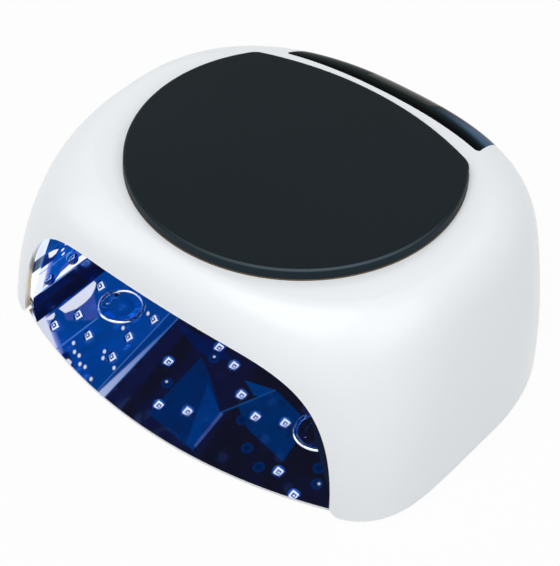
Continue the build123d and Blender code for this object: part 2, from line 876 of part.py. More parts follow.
# Finned heat spreader on the ceiling board, held by four screws
with BuildPart() as heat_spreader:
    low = (-ceiling_board_half + spreader_margin / 2, -ceiling_board_front + spreader_margin / 2)
    high = (ceiling_board_half - spreader_margin / 2, ceiling_board_back - spreader_margin / 2)
    spreader_face = board_back + seat_gap
    add(board(ceiling_facet, low, high, spreader_face, spreader_thickness, spreader_spots, post_hole))
    fin_pitch = 2 * (spreader_posts_x - 2 * spreader_post_inset) / (fin_count - 1)
    fin_middle = (low[1] + high[1]) / 2
    with BuildSketch(ceiling_facet.offset(spreader_back)):
        with Locations((0, fin_middle)):
            with GridLocations(fin_pitch, fin_pitch, fin_count, 1):
                Rectangle(fin_thickness, high[1] - low[1])
    extrude(amount=fin_height)

with BuildPart() as spreader_screws:
    with Locations(*spots_on(ceiling_facet, spreader_spots, spreader_back)):
        add(short_screw_part)

# Hand sensor in the cave's rear corners
with BuildPart() as infrared_emitter:
    with Locations(*spots_on(corner_facet, sensor_spot)):
        add(sensor_bead)

with BuildPart() as infrared_receiver:
    mirror(infrared_emitter.part, about=Plane.YZ)

with BuildPart() as sensor_boards:
    half = sensor_board / 2
    low, high = (-half, sensor_height - half), (half, sensor_height + half)
    add(board(corner_facet, low, high, board_face, board_thickness))
    mirror(about=Plane.YZ)

# Driver board and what stands on it
driver_face = Plane.XZ.offset(-driver_back)
driver_front = Plane.XZ.offset(-driver_y)
with BuildPart() as driver_board:
    with BuildSketch(driver_front):
        with Locations((0, driver_middle)):
            RectangleRounded(driver_width, driver_top - driver_low, driver_post)
        with Locations(*driver_spots):
            Circle(pilot, mode=Mode.SUBTRACT)
    extrude(amount=-board_thickness)

with BuildPart() as driver_inductor:
    spot = [(inductor_x, inductor_z)]
    add(back_cylinders(spot, inductor_radius, driver_back, driver_back + inductor_height))
    fillet(driver_inductor.edges().filter_by(GeomType.CIRCLE), inductor_height / 4)
    winding_bore = back_cylinders(spot, inductor_bore, driver_back, driver_back + inductor_height)
    add(winding_bore, mode=Mode.SUBTRACT)

with BuildPart() as driver_capacitors:
    add(back_cylinders(capacitor_spots, capacitor_radius, driver_back, driver_back + capacitor_height))
    fillet(driver_capacitors.edges().group_by(Axis.Y)[-1], capacitor_radius / 8)

with BuildPart() as driver_chips:
    with BuildSketch(driver_face):
        for x, z, width, height in chip_spots:
            with Locations((x, z)):
                Rectangle(width, height)
    extrude(amount=-chip_height)

with BuildPart() as board_connectors:
    with BuildSketch(driver_face):
        with Locations(*plug_spots):
            Rectangle(plug_width, plug_height)
    extrude(amount=-plug_depth)
    with BuildSketch(Plane.XZ.offset(-driver_back - plug_depth)):
        with Locations(*plug_spots):
            Rectangle(plug_width - board_thickness, plug_height - board_thickness)
    extrude(amount=plug_depth / 2, mode=Mode.SUBTRACT)

with BuildPart() as driver_screws:
    with Locations(*[driver_front.location * Pos(x, z, 0) for x, z in driver_spots]):
        add(short_screw_part)

with BuildPart() as control_screws:
    behind = Plane(
        origin=fascia_plane.offset(board_level - board_thickness).origin,
        x_dir=fascia_plane.x_dir,
        z_dir=-fascia_plane.z_dir,
    )
    with Locations(*[behind.location * Pos(x, -y, 0) for x, y in post_spots]):
        add(short_screw_part)

# Low-voltage inlet: housing with a round collar in the back wall, centre pin and spring contact
collar_mouth = back_wall_y - collar_inset
bore_floor = collar_mouth - barrel_depth
body_back = back_wall_y - wall - fit_gap
contact_low = jack_z + barrel_radius
with BuildPart() as inlet_housing:
    with BuildSketch(driver_face):
        with Locations((0, jack_z)):
            Rectangle(jack_width, jack_height)
    extrude(amount=-(body_back - driver_back))
    add(back_cylinders([(0, jack_z)], collar_radius, body_back, collar_mouth))
    add(back_cylinders([(0, jack_z)], barrel_radius, bore_floor, collar_mouth), mode=Mode.SUBTRACT)
    tail_floor = bore_floor - pin_tail_length
    tail_bore = back_cylinders([(0, jack_z)], pin_tail + screw_gap, tail_floor, bore_floor)
    add(tail_bore, mode=Mode.SUBTRACT)
    with BuildSketch(Plane.XZ.offset(-bore_floor)):
        with Locations((0, contact_low)):
            Rectangle(contact_width + 2 * seat_gap, 2 * contact_thickness + 2 * seat_gap)
    extrude(amount=-contact_length - seat_gap, mode=Mode.SUBTRACT)

with BuildPart() as inlet_pin:
    pin_front = collar_mouth - pin_inset
    add(back_cylinders([(0, jack_z)], pin_radius, bore_floor, pin_front))
    chamfer(inlet_pin.edges().sort_by(Axis.Y)[-1], pin_tip)
    add(back_cylinders([(0, jack_z)], pin_tail, bore_floor - pin_tail_length, bore_floor))

with BuildPart() as inlet_contact:
    with BuildSketch(Plane.XZ.offset(-bore_floor - seat_gap)):
        with Locations((0, contact_low + contact_thickness / 2)):
            Rectangle(contact_width, contact_thickness)
    extrude(amount=-contact_length + seat_gap)

# Bottom frame: closes the shell below, open to the front, with magnets for the tray
with BuildPart() as bottom_frame:
    add(slab(frame_low, frame_top, wall + fit_gap))
    add(cave(liner + fit_gap, below_floor, frame_top + 1), mode=Mode.SUBTRACT)
    add(upright_cylinders(boss_spots, pilot, frame_low, frame_top), mode=Mode.SUBTRACT)
    add(upright_cylinders(boss_spots, screw_head + fit_gap, frame_low, screw_seat), mode=Mode.SUBTRACT)
    pocket_top = frame_low + magnet_thickness
    pockets = upright_cylinders(magnet_spots, magnet_radius + seat_gap, frame_low, pocket_top)
    add(pockets, mode=Mode.SUBTRACT)

with BuildPart() as frame_screws:
    with Locations(*[Location((x, y, screw_seat), (180, 0, 0)) for x, y in boss_spots]):
        add(long_screw_part)

with BuildPart() as tray_magnets:
    add(upright_cylinders(magnet_spots, magnet_radius, frame_low, frame_low + magnet_thickness))

# Removable tray: a thin polished plate with a curved front lip and four embossed dimples
tray_low = tray_top - tray_thickness
tongue_half = arch_half_width - tray_tongue_gap
foot_spots = [(x, y) for x in (-foot_x, foot_x) for y in (-foot_front, foot_back)]
with BuildPart() as base_tray:
    with BuildSketch(Plane.XY.offset(tray_low)) as outline:
        with BuildLine():
            add(section_outline(tray_low, tray_inset))
        make_face()
        with Locations((0, -tray_shoulder - half_width)):
            Rectangle(2 * half_width, 2 * half_width, mode=Mode.SUBTRACT)
        with BuildLine():
            corner_y = -tray_front + tray_front_sag
            right_corner, left_corner = (tongue_half, corner_y), (-tongue_half, corner_y)
            ThreePointArc(left_corner, (0, -tray_front), right_corner)
            Polyline(right_corner, (tongue_half, 0), (-tongue_half, 0), left_corner)
        make_face()
        shoulder_y = (-tray_shoulder - 1, -tray_shoulder + 1)
        at_shoulder = outline.vertices().filter_by_position(Axis.Y, *shoulder_y)
        ends = at_shoulder.sort_by(Axis.X)
        fillet([ends[0], ends[-1]], tray_corner)
    extrude(amount=tray_thickness)
    with Locations(*[(x, y, tray_top - dimple_depth / 2) for x, y in foot_spots]):
        Cone(dimple_floor, dimple_radius, dimple_depth, mode=Mode.SUBTRACT)
    with Locations(*[(x, y, tray_top + bead_rise - bead_section) for x, y in foot_spots]):
        Torus(bead_radius, bead_section)

with BuildPart() as tray_feet:
    add(upright_cylinders(foot_spots, foot_radius, 0, tray_low))
    fillet(tray_feet.edges().group_by(Axis.Z)[0], foot_edge)

nodes = {
    "housing_shell": housing_shell.part,
    "top_panel": top_panel.part,
    "panel_seal": panel_seal.part,
    "control_fascia": control_fascia.part,
    "display_lens": display_lens.part,
    "display_module": display_module.part,
    "display_digits": display_digits.part,
    "control_board": control_board.part,
    "control_screws": control_screws.part,
    "tact_switches": tact_switches.part,
    "reflector_chamber": reflector_chamber.part,
    "ceiling_led_board": ceiling_led_board.part,
    "left_led_board": left_led_board.part,
    "right_led_board": right_led_board.part,
    "rear_led_board": rear_led_board.part,
    "ceiling_led_lenses": ceiling_led_lenses.part,
    "left_led_lenses": left_led_lenses.part,
    "right_led_lenses": right_led_lenses.part,
    "rear_led_lenses": rear_led_lenses.part,
    "ceiling_led_chips": ceiling_led_chips.part,
    "left_led_chips": left_led_chips.part,
    "right_led_chips": right_led_chips.part,
    "rear_led_chips": rear_led_chips.part,
    "heat_spreader": heat_spreader.part,
    "spreader_screws": spreader_screws.part,
    "infrared_emitter": infrared_emitter.part,
    "infrared_receiver": infrared_receiver.part,
    "sensor_boards": sensor_boards.part,
    "driver_board": driver_board.part,
    "driver_inductor": driver_inductor.part,
    "driver_capacitors": driver_capacitors.part,
    "driver_chips": driver_chips.part,
    "driver_screws": driver_screws.part,
    "board_connectors": board_connectors.part,
    "inlet_housing": inlet_housing.part,
    "inlet_pin": inlet_pin.part,
    "inlet_contact": inlet_contact.part,
    "bottom_frame": bottom_frame.part,
    "frame_screws": frame_screws.part,
    "tray_magnets": tray_magnets.part,
    "base_tray": base_tray.part,
    "tray_feet": tray_feet.part,
}
for i, spot in enumerate(button_spots, start=1):
    nodes[f"timer_button_{i}"] = button(spot)
    nodes[f"switch_plunger_{i}"] = plunger(spot)

os.makedirs("parts", exist_ok=True)
for name, piece in nodes.items():
    piece.label = name
    export_step(piece, f"parts/{name}.step")
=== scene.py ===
import bpy
import bmesh
import math
from mathutils import Matrix, Vector


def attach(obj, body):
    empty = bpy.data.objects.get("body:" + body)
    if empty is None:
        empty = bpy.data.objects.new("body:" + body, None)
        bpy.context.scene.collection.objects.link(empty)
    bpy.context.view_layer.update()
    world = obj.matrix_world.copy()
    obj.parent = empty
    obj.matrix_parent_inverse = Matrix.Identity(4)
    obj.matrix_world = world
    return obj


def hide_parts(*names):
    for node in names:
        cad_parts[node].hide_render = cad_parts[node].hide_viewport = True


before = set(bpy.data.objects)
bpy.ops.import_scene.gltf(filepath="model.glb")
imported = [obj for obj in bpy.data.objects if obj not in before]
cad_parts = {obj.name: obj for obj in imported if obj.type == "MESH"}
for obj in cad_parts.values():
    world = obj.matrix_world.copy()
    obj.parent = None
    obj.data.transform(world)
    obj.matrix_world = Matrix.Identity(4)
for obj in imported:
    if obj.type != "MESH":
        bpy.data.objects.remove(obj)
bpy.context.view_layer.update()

# Node helpers


class Graph:
    """A material's node tree, with short calls for the nodes used here."""

    def __init__(self, name):
        self.material = bpy.data.materials.new(name)
        self.material.use_nodes = True
        self.nodes = self.material.node_tree.nodes
        self.links = self.material.node_tree.links
        self.shader = self.nodes["Principled BSDF"]
        self.output = self.nodes["Material Output"]
        self.place = self.node("ShaderNodeTexCoord").outputs["Object"]

    def node(self, kind, **settings):
        made = self.nodes.new(kind)
        for key, value in settings.items():
            setattr(made, key, value)
        return made

    def feed(self, socket, value):
        if isinstance(value, bpy.types.NodeSocket):
            self.links.new(value, socket)
        else:
            socket.default_value = value

    def math(self, operation, a, b=0.0, c=0.0):
        made = self.node("ShaderNodeMath", operation=operation)
        for socket, value in zip(made.inputs, (a, b, c)):
            self.feed(socket, value)
        return made.outputs[0]

    def split(self, vector):
        """The three numbers of a vector."""
        made = self.node("ShaderNodeSeparateXYZ")
        self.links.new(vector, made.inputs[0])
        return made.outputs

    def normal(self):
        return self.split(self.node("ShaderNodeNewGeometry").outputs["Normal"])

    def above(self, value, edge, soft=0.0003):
        """1 where value is above an edge, 0 below it, with a soft step between."""
        made = self.node("ShaderNodeMapRange", interpolation_type="SMOOTHSTEP")
        self.feed(made.inputs["Value"], value)
        made.inputs["From Min"].default_value = edge - soft
        made.inputs["From Max"].default_value = edge + soft
        return made.outputs[0]

    def below(self, value, edge, soft=0.0003):
        return self.math("SUBTRACT", 1.0, self.above(value, edge, soft))

    def both(self, *masks):
        """The product of some masks."""
        made = masks[0]
        for mask in masks[1:]:
            made = self.math("MULTIPLY", made, mask)
        return made

    def patch(self, x, y, corners, soft=0.0003):
        """1 inside a convex patch of two directions' plane; its corners, in millimetres, run anticlockwise."""
        inside = None
        for (x0, y0), (x1, y1) in zip(corners, corners[1:] + corners[:1]):
            length = math.hypot(x1 - x0, y1 - y0)
            nx, ny = (y0 - y1) / length, (x1 - x0) / length
            reach = self.math("MULTIPLY_ADD", x, nx, self.math("MULTIPLY", y, ny))
            half = self.above(reach, (nx * x0 + ny * y0) / 1000, soft)
            inside = half if inside is None else self.math("MULTIPLY", inside, half)
        return inside

    def spots(self, across, up, middles):
        """Distance in metres to the nearest of some points, whose two places are in millimetres."""
        flat = self.node("ShaderNodeCombineXYZ")
        self.feed(flat.inputs[0], across)
        self.feed(flat.inputs[1], up)
        least = None
        for a, b in middles:
            made = self.node("ShaderNodeVectorMath", operation="DISTANCE")
            self.links.new(flat.outputs[0], made.inputs[0])
            made.inputs[1].default_value = (a / 1000, b / 1000, 0.0)
            reach = made.outputs["Value"]
            least = reach if least is None else self.math("MINIMUM", least, reach)
        return least

    def noise(self, scale, detail=3.0, rough=0.5, stretch=(1, 1, 1)):
        mapping = self.node("ShaderNodeMapping")
        mapping.inputs["Scale"].default_value = stretch
        self.links.new(self.place, mapping.inputs["Vector"])
        made = self.node("ShaderNodeTexNoise")
        made.inputs["Scale"].default_value = scale
        made.inputs["Detail"].default_value = detail
        made.inputs["Roughness"].default_value = rough
        self.links.new(mapping.outputs[0], made.inputs["Vector"])
        return made.outputs[0]

    def cells(self, scale):
        """A number from 0 to 1 that is the same all over each of many flat-sided cells."""
        made = self.node("ShaderNodeTexVoronoi")
        made.inputs["Scale"].default_value = scale
        self.links.new(self.place, made.inputs["Vector"])
        return self.split(made.outputs["Color"])[0]

    def ramp(self, value, a, b, low=0.3, high=0.7):
        """From one colour or number to another, as a value goes from low to high."""
        made = self.node("ShaderNodeValToRGB")
        for element, place, colour in zip(made.color_ramp.elements, (low, high), (a, b)):
            element.position = place
            element.color = (*colour, 1.0) if isinstance(colour, tuple) else (colour, colour, colour, 1.0)
        self.links.new(value, made.inputs[0])
        return made.outputs[0]

    def mix(self, share, a, b):
        made = self.node("ShaderNodeMix", data_type="RGBA")
        for socket, value in ((made.inputs[0], share), (made.inputs[6], a), (made.inputs[7], b)):
            if isinstance(value, tuple):
                value = (*value, 1.0)
            self.feed(socket, value)
        return made.outputs[2]

    def bump(self, height, strength, distance):
        made = self.node("ShaderNodeBump")
        made.inputs["Strength"].default_value = strength
        made.inputs["Distance"].default_value = distance
        self.links.new(height, made.inputs["Height"])
        self.links.new(made.outputs[0], self.shader.inputs["Normal"])

    def set(self, **values):
        names = {"base": "Base Color", "rough": "Roughness", "metal": "Metallic", "coat": "Coat Weight",
                 "coat_rough": "Coat Roughness", "ior": "IOR", "through": "Transmission Weight",
                 "glow": "Emission Color", "glow_strength": "Emission Strength",
                 "specular": "Specular IOR Level"}
        for key, value in values.items():
            if isinstance(value, tuple):
                value = (*value, 1.0)
            self.feed(self.shader.inputs[names[key]], value)
        return self


def plastic(name, colour, rough, grain=220.0, depth=0.00004, spread=0.04, specular=0.5):
    """Moulded plastic: a faint colour drift, a grain and its bump."""
    g = Graph(name)
    drift = g.noise(18.0, 2.0)
    lighter = tuple(min(1.0, c * (1 + spread)) for c in colour)
    darker = tuple(c * (1 - spread) for c in colour)
    fine = g.noise(grain, 4.0, 0.6)
    g.set(base=g.ramp(drift, darker, lighter), specular=specular)
    g.set(rough=g.ramp(fine, max(0.02, rough - 0.05), rough + 0.05, 0.25, 0.75))
    g.bump(fine, 0.25, depth)
    return g


def metal(name, colour, rough, stretch=(1, 1, 1), grain=400.0, depth=0.00002):
    """Metal with fine marks, drawn out in one direction if asked."""
    g = Graph(name)
    marks = g.noise(grain, 5.0, 0.6, stretch)
    darker = tuple(c * 0.9 for c in colour)
    g.set(base=g.ramp(marks, darker, colour), metal=1.0)
    g.set(rough=g.ramp(marks, rough * 0.75, rough * 1.3, 0.2, 0.8))
    g.bump(marks, 0.2, depth)
    return g


def lit(name, scale, detail, colours, rough, glows, strength):
    """A part that glows, mottled from one colour to another: an LED's emitter, or a board whose glow is
    painted light.
    """
    g = Graph(name)
    mottling = g.noise(scale, detail)
    g.set(base=g.ramp(mottling, *colours), rough=rough, glow=g.ramp(mottling, *glows), glow_strength=strength)
    return g


def dress(node, graph):
    """Gives a CAD node its finish."""
    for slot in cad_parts[node].material_slots:
        slot.material = graph.material


# Shell, panel and fascia

arch_half_width, arch_height = 0.085, 0.0658
arch_side_power, arch_top_power = 4.65, 2.24
arch_reach = 1.012
jamb_back, jamb_top = -0.05, 0.046
jamb_middle, jamb_lean = -0.0744, -0.075

shell = Graph("shell_white")
x, y, z = shell.split(shell.place)
drift = shell.noise(9.0, 2.0)
pale = shell.ramp(drift, (0.850, 0.864, 0.874), (0.864, 0.876, 0.885))
across = shell.math("DIVIDE", shell.math("ABSOLUTE", x), arch_half_width)
upward = shell.math("DIVIDE", shell.math("MAXIMUM", z, 0.0), arch_height)
side, top = shell.math("POWER", across, arch_side_power), shell.math("POWER", upward, arch_top_power)
arch = shell.math("ADD", side, top)
inside_arch = shell.below(arch, arch_reach, 0.002)
jamb = shell.both(inside_arch, shell.below(y, jamb_back), shell.below(z, jamb_top, 0.010))
inner_half = shell.above(shell.math("MULTIPLY_ADD", z, jamb_lean, y), jamb_middle, 0.0004)
streak = shell.noise(30.0, 2.0, 0.5, (1, 1, 0.25))
golden = shell.ramp(streak, (0.52, 0.33, 0.11), (0.72, 0.53, 0.25), 0.35, 0.65)
warm = shell.mix(inner_half, (0.84, 0.80, 0.66), golden)
fine = shell.noise(900.0, 3.0)
shell.set(base=shell.mix(jamb, pale, warm), coat=0.2, coat_rough=0.12)
shell.set(rough=shell.ramp(drift, 0.27, 0.31, 0.25, 0.75))
shell.bump(fine, 0.1, 0.000002)

panel_foot = 0.08395

panel = Graph("panel_black")
z = panel.split(panel.place)[2]
nx, ny, nz = panel.normal()
drift = panel.noise(14.0, 2.0)
matt = panel.ramp(drift, (0.0036, 0.0078, 0.0100), (0.0044, 0.0090, 0.0116))
foot_line = panel.both(panel.below(z, panel_foot, 0.00015), panel.below(nz, 0.5, 0.1))
# Painted highlight: a pale line along the rounded rim, towards the front right. The panel's sides are painted
# a little lighter blue, a painted sheen.
rim_line = panel.both(panel.above(nz, 0.35, 0.15), panel.below(nz, 0.93, 0.05))
bright = panel.both(rim_line, panel.above(nx, 0.12, 0.38), panel.below(ny, -0.1, 0.3))
rim_highlight_and_side_sheen = panel.mix(bright, matt, (0.060, 0.085, 0.100))
rim_highlight_and_side_sheen = panel.mix(panel.below(nz, 0.50, 0.2), rim_highlight_and_side_sheen, (0.010, 0.020, 0.028))
fine = panel.noise(900.0, 4.0, 0.6)
panel.set(base=panel.mix(foot_line, rim_highlight_and_side_sheen, (0.20, 0.14, 0.07)), specular=0.09)
panel.set(rough=panel.ramp(fine, 0.44, 0.56, 0.25, 0.75))
panel.bump(fine, 0.25, 0.00006)
seal = plastic("seal_cream", (0.70, 0.56, 0.30), 0.3)

sheen_back, sheen_start = 0.0765, 0.026
edge_reflection_back = 0.0755
gloss = {"grain": 90.0, "depth": 0.000004}

fascia = plastic("fascia_black", (0.0012, 0.0014, 0.0020), 0.10, spread=0.1, specular=0.003, **gloss)
x, y = fascia.split(fascia.place)[:2]
ny = fascia.normal()[1]
plain = fascia.shader.inputs["Base Color"].links[0].from_socket
# Painted reflection: a blue-grey sheen on the right, where the top turns towards the back. A dark teal line
# runs along the whole of that turn.
sheen = fascia.both(fascia.above(ny, 0.43, 0.06), fascia.below(y, sheen_back, 0.003),
                    fascia.above(x, sheen_start, 0.014))
edge_reflection = fascia.both(fascia.above(ny, 0.34, 0.06), fascia.below(y, edge_reflection_back, 0.003))
plain = fascia.mix(edge_reflection, plain, (0.003, 0.012, 0.014))
fascia.set(base=fascia.mix(sheen, plain, (0.065, 0.125, 0.215)))
keys = plastic("button_key", (0.016, 0.018, 0.022), 0.30, grain=700.0, specular=0.05)
smoked = plastic("display_smoked", (0.0040, 0.0038, 0.0052), 0.08, specular=0.014, **gloss)

# Cave: liner, tray and lamp beads

bevel_start, flange_back = 0.055, -0.064
wall_foot, light_top, band_top, crease_reflection_height = 0.0108, 0.0315, 0.0405, 0.0278
lilac_front, white_front, band_front, crease_reflection_back = -0.0655, -0.0673, -0.0625, -0.0415
glint_radius, bead_reflection_radius, bead_reflection_core, spark_radius = 0.0009, 0.0027, 0.0016, 0.0006
stripe_start, stripe_width, stripe_turn = 0.07007, 0.00411, 0.0534
stripe_slant, rim_slant = -14.0, -1.2
rim_white_end, rim_lilac_start, rim_foot = 0.1231, 0.1285, 0.0085

liner = Graph("liner_blue_chrome")
x, y, z = liner.split(liner.place)
ny, nz = liner.normal()[1:]
left = liner.below(x, 0.0)
ceiling = liner.below(nz, -0.75, 0.05)
bevel = liner.both(liner.below(nz, -0.45, 0.05), liner.above(nz, -0.85, 0.05),
                   liner.above(liner.math("ABSOLUTE", x), bevel_start))
front = liner.both(liner.below(ny, -0.7, 0.05), liner.below(y, flange_back, 0.001))
streaks = liner.noise(60.0, 3.0)
mottle = liner.ramp(liner.noise(140.0, 4.0, 0.6), 0.0, 0.45, 0.50, 0.68)
royal = liner.ramp(liner.cells(26.0), (0.000, 0.042, 0.21), (0.001, 0.060, 0.28), 0.2, 0.8)

# Side walls: painted reflections of what they mirror, laid out along the left wall, with painted white
# highlights, glints, a painted reflected crease line and dark bands
painted_reflections = royal
low = liner.both(left, liner.below(z, light_top))
painted_reflections = liner.mix(liner.both(low, liner.below(y, lilac_front, 0.0015)), painted_reflections, (0.26, 0.32, 0.70))
painted_reflections = liner.mix(liner.both(low, liner.below(y, white_front, 0.0008)), painted_reflections, (0.95, 0.96, 1.0))
crease_reflection = liner.below(liner.math("ABSOLUTE", liner.math("SUBTRACT", z, crease_reflection_height)), 0.00035, 0.0002)
painted_reflections = liner.mix(liner.both(crease_reflection, liner.below(y, crease_reflection_back, 0.001)), painted_reflections, (0.08, 0.22, 0.58))
for corners, colour in (
    ([(-58, 14), (-39, 14), (-41.6, 28), (-47, 25.9), (-57.9, 18.9)], (0.045, 0.090, 0.36)),
    ([(-59.5, 11.9), (-37.4, 11.3), (-36.6, 12.8), (-38, 14.6), (-41.4, 16.7), (-45.4, 17.4), (-51, 17.3),
      (-57.2, 15.6)], (1.0, 1.0, 1.0)),
    ([(-68.3, 12), (-62.5, 12), (-62.3, 13.1), (-63.7, 14.3), (-65.7, 13.9)], (1.0, 1.0, 1.0)),
):
    painted_reflections = liner.mix(liner.both(left, liner.patch(y, z, corners)), painted_reflections, colour)
dark_band = liner.both(liner.below(y, band_front, 0.001), liner.above(z, light_top), liner.below(z, band_top))
painted_reflections = liner.mix(dark_band, painted_reflections, (0.002, 0.008, 0.06))
blob = liner.patch(y, z, [(-67.8, 35.9), (-65.9, 34.9), (-63.6, 35.4), (-62.6, 37.8), (-65.6, 39.7),
                          (-69, 40.5)])
painted_reflections = liner.mix(liner.both(left, blob), painted_reflections, (0.95, 0.96, 1.0))
glints = liner.spots(y, z, (
    (-58.4, 30.5), (-59.5, 34.5), (-57.9, 37.5), (-59.0, 41.3), (-57.0, 44.2), (-56.2, 51.3), (-44.5, 44.1),
    (-46.4, 46.4), (-15.1, 42.4), (-30.8, 40.3), (-28.4, 45.6), (-42.6, 54.3)))
painted_reflections = liner.mix(liner.both(left, liner.below(glints, glint_radius, 0.0003)), painted_reflections, (0.95, 0.97, 1.0))
painted_reflections = liner.mix(liner.below(z, wall_foot, 0.0002), painted_reflections, (0.003, 0.004, 0.020))

# Ceiling: dark, with painted reflections of the blue facets it mirrors and of beads, and painted glints in
# three of them
overhead = (0.0085, 0.0085, 0.0185)
for corners, colour in (
    ([(-42, -12), (-41, -49), (-11, -52), (-14, -30), (-31, -18)], (0.0012, 0.0230, 0.105)),
    ([(-30, -21), (-22, -38), (-16, -51), (-11, -52), (-14, -30)], (0.0010, 0.0420, 0.200)),
    ([(-65, -4), (-48, -10), (-39, -10), (-29, -5), (-40, -2)], (0.0040, 0.0120, 0.070)),
    ([(-17, -10), (-8, -14), (-5, -12), (-2, -6)], (0.0010, 0.0480, 0.220)),
    ([(-11, -22), (1, -29), (25, -33), (22, -11), (-1, -6)], (0.0010, 0.0300, 0.140)),
    ([(-14.5, -29), (-12.5, -50), (-11, -50), (-12.8, -29.6)], (0.06, 0.10, 0.32)),
    ([(-14.3, -28.8), (-13.7, -29.2), (-1.7, -6.2), (-2.3, -5.8)], (0.01, 0.09, 0.30)),
):
    overhead = liner.mix(liner.patch(x, y, corners), overhead, colour)
overhead = liner.mix(mottle, overhead, (0.0060, 0.0090, 0.026))
bead_reflections = liner.spots(x, y, (
    (-45.2, -31.9), (7.8, -36.8), (18.5, -41.2), (40.2, -26.2), (44.7, -32.9), (-36.9, -8.9),
    (-3.8, -27.0)))
overhead = liner.mix(liner.below(bead_reflections, bead_reflection_radius, 0.0004), overhead, (0.0015, 0.026, 0.120))
overhead = liner.mix(liner.below(bead_reflections, bead_reflection_core, 0.0008), overhead, (0.0010, 0.014, 0.070))
sparks = liner.spots(x, y, ((-45.9, -31.4), (45.3, -32.3), (-37.3, -8.3)))
overhead = liner.mix(liner.below(sparks, spark_radius, 0.0003), overhead, (0.80, 0.85, 0.95))
painted_reflections = liner.mix(ceiling, painted_reflections, overhead)

# Bevel between the two, and the front flange: a painted pale stripe of reflection on the bevel and a painted
# white and lilac wedge on the flange, left of the middle; right of it both are painted dark, a painted shade
turned = liner.math("MULTIPLY_ADD", y, stripe_turn, liner.math("ADD", x, stripe_start))
share = liner.math("DIVIDE", turned, stripe_width)
lilac = liner.ramp(liner.math("MULTIPLY", y, -12.0), (0.03, 0.15, 0.50), (0.62, 0.66, 0.90), 0.15, 0.70)
edge_line = liner.above(liner.math("ABSOLUTE", liner.math("SUBTRACT", share, 0.5)), 0.41, 0.04)
pale_side = liner.above(liner.math("MULTIPLY_ADD", y, stripe_slant, share), 1.0, 0.08)
stripe = liner.mix(pale_side, (0.002, 0.045, 0.24), lilac)
stripe = liner.mix(edge_line, stripe, (0.06, 0.20, 0.52))
painted_reflections = liner.mix(bevel, painted_reflections, liner.mix(left, (0.002, 0.010, 0.050), stripe))
slant = liner.math("MULTIPLY_ADD", x, rim_slant, z)
rim = liner.mix(liner.above(slant, rim_white_end), (0.93, 0.94, 0.98), (0.002, 0.008, 0.05))
rim = liner.mix(liner.above(slant, rim_lilac_start), rim, (0.74, 0.76, 0.95))
rim = liner.mix(liner.below(z, rim_foot), rim, (0.003, 0.004, 0.020))
painted_reflections = liner.mix(front, painted_reflections, liner.mix(left, (0.001, 0.003, 0.015), rim))
# The chrome's own blue, darker on the ceiling. On the flange and bevel right of the middle it is painted
# nearly black, a painted shade.
chrome = liner.ramp(streaks, (0.09, 0.25, 0.56), (0.11, 0.28, 0.60))
chrome = liner.mix(ceiling, chrome, (0.012, 0.032, 0.080))
dark_front = liner.both(front, liner.above(x, 0.0))
dark_bevel = liner.both(bevel, liner.above(x, 0.0))
chrome = liner.mix(liner.math("MAXIMUM", dark_front, dark_bevel), chrome, (0.004, 0.008, 0.02))
# The liner glows with all these painted reflections, highlights and shade, though it is no lamp.
liner.set(base=chrome, metal=1.0, glow=painted_reflections, glow_strength=0.9)
liner.set(rough=liner.ramp(streaks, 0.05, 0.09, 0.2, 0.8))
liner.bump(streaks, 0.2, 0.00001)

tray_top = 0.00315

tray = Graph("tray_mirror")
z = tray.split(tray.place)[2]
nz = tray.normal()[2]
edge = tray.both(tray.below(nz, 0.5, 0.1), tray.below(z, tray_top, 0.00002))
haze = tray.noise(50.0, 3.0)
silver = tray.ramp(haze, (0.74, 0.78, 0.90), (0.77, 0.81, 0.92))
tray.set(base=tray.mix(edge, silver, (0.82, 0.82, 0.79)), metal=tray.math("SUBTRACT", 1.0, edge))
tray.set(rough=tray.mix(edge, tray.ramp(haze, 0.02, 0.04), (0.4, 0.4, 0.4)))

steep_turn, dome_ior = 0.48, 1.28


def dome(group, axis):
    """Clear dome over an LED, with a blue tint in its steep sides."""
    g = Graph(f"led_dome_{group}")
    waves = g.noise(300.0, 2.0)
    turn = g.node("ShaderNodeVectorMath", operation="DOT_PRODUCT")
    g.links.new(g.node("ShaderNodeNewGeometry").outputs["Normal"], turn.inputs[0])
    turn.inputs[1].default_value = axis
    steep = g.below(g.math("ABSOLUTE", turn.outputs["Value"]), steep_turn, 0.12)
    clear = g.ramp(waves, (0.86, 0.93, 1.0), (0.90, 0.96, 1.0))
    g.set(base=g.mix(steep, clear, (0.02, 0.10, 0.36)), rough=g.ramp(waves, 0.0, 0.03))
    return g.set(through=1.0, ior=dome_ior)


domes = {
    "ceiling": dome("ceiling", (0.0, 0.165, 0.986)), "left": dome("left", (0.952, 0.0, -0.305)),
    "right": dome("right", (-0.952, 0.0, -0.305)), "rear": dome("rear", (0.0, 0.989, 0.148)),
}

# The LED boards glow blue: painted light, though they are no lamps.
board_painted_glow = lit("board_painted_glow", 500.0, 3.0, ((0.04, 0.10, 0.26), (0.06, 0.13, 0.30)), 0.4,
                  ((0.003, 0.07, 0.34), (0.008, 0.12, 0.46)), 0.75)
package_white = lit("emitter_frame", 1500.0, 2.0, ((0.80, 0.80, 0.82), (0.88, 0.88, 0.90)), 0.35,
                    ((0.85, 0.88, 1.0), (0.95, 0.96, 1.0)), 1.15)
package_pad = lit("emitter_pad", 2500.0, 2.0, ((0.05, 0.06, 0.16), (0.09, 0.10, 0.24)), 0.25,
                  ((0.02, 0.03, 0.14), (0.05, 0.07, 0.26)), 0.6)
package_die = lit("emitter_die", 3000.0, 2.0, ((0.55, 0.55, 0.75), (0.75, 0.75, 0.9)), 0.2,
                  ((0.6, 0.65, 1.0), (0.9, 0.92, 1.0)), 1.2)

# What is behind them

